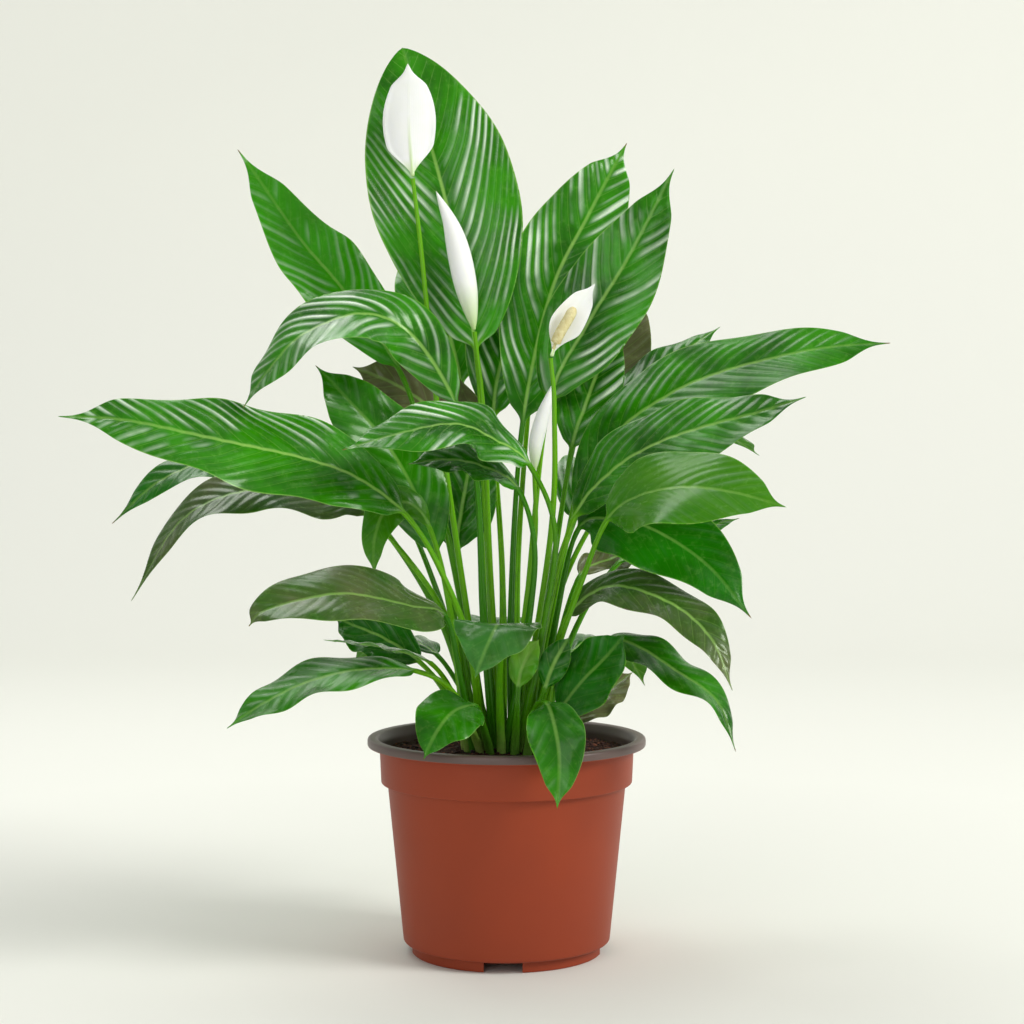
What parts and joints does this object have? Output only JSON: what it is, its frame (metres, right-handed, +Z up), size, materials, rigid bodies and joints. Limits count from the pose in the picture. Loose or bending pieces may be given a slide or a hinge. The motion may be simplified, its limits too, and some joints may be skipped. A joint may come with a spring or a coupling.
{
  "type": "potted peace lily",
  "caption": "Potted peace lily: a crown of long-stalked glossy leaves with white flowers, rooted in soil in a round plastic nursery pot that stands on its foot ring.",
  "frame": {"origin": "on the pot's axis, at its underside, on the flat pad that it stands on", "axes": "+Z up, -Y towards the front of the plant, +X to the right seen from the front"},
  "size_m": [0.6951, 0.3879, 0.8001],
  "materials": {
    "pot_plastic": "satin",
    "potting_mix": "matte",
    "leaf": "gloss",
    "leaf_underside": "satin",
    "flower_stalk": "satin",
    "spathe": "satin",
    "spadix": "matte"
  },
  "bodies": {
    "root": {"flower_bud_slender_spathe": "spathe", "flower_bud_slender_stalk": "flower_stalk", "flower_bud_thick_spathe": "spathe", "flower_bud_thick_stalk": "flower_stalk", "flower_small_spadix": "spadix", "flower_small_spathe": "spathe", "flower_small_stalk": "flower_stalk", "flower_tall_spadix": "spadix", "flower_tall_spathe": "spathe", "flower_tall_stalk": "flower_stalk", "leaf_arching_front": "leaf", "leaf_arching_left": "leaf", "leaf_arching_right": "leaf", "leaf_back_low": "leaf", "leaf_back_low_left": "leaf", "leaf_back_low_right": "leaf", "leaf_back_outer_left": "leaf", "leaf_back_outer_right": "leaf", "leaf_back_right": "leaf", "leaf_back_tall_left": "leaf", "leaf_back_tall_right": "leaf", "leaf_broad_left": "leaf", "leaf_brown_right": "leaf_underside", "leaf_dark_left": "leaf", "leaf_dark_low_left": "leaf", "leaf_dark_low_right": "leaf", "leaf_dark_right": "leaf", "leaf_dark_upright": "leaf", "leaf_drooping_left": "leaf", "leaf_front_middle": "leaf", "leaf_hanging_left": "leaf", "leaf_light_right": "leaf", "leaf_low_left": "leaf", "leaf_low_right": "leaf", "leaf_lowest_left": "leaf", "leaf_mid_right": "leaf", "leaf_middle_left": "leaf", "leaf_narrow_left": "leaf", "leaf_narrow_right": "leaf", "leaf_olive_left": "leaf_underside", "leaf_olive_low_right": "leaf_underside", "leaf_olive_right": "leaf_underside", "leaf_over_rim_left": "leaf", "leaf_over_rim_right": "leaf", "leaf_striped_middle": "leaf", "leaf_striped_small": "leaf", "leaf_tall_outer_right": "leaf", "leaf_tall_right": "leaf", "leaf_tallest": "leaf", "leaf_tip_right": "leaf", "leaf_top_right": "leaf", "leaf_under_arch": "leaf", "leaf_upper_left": "leaf", "leaf_young_dark": "leaf", "leaf_young_light": "leaf", "nursery_pot": "pot_plastic", "potting_soil": "potting_mix"}
  },
  "joints": []
}
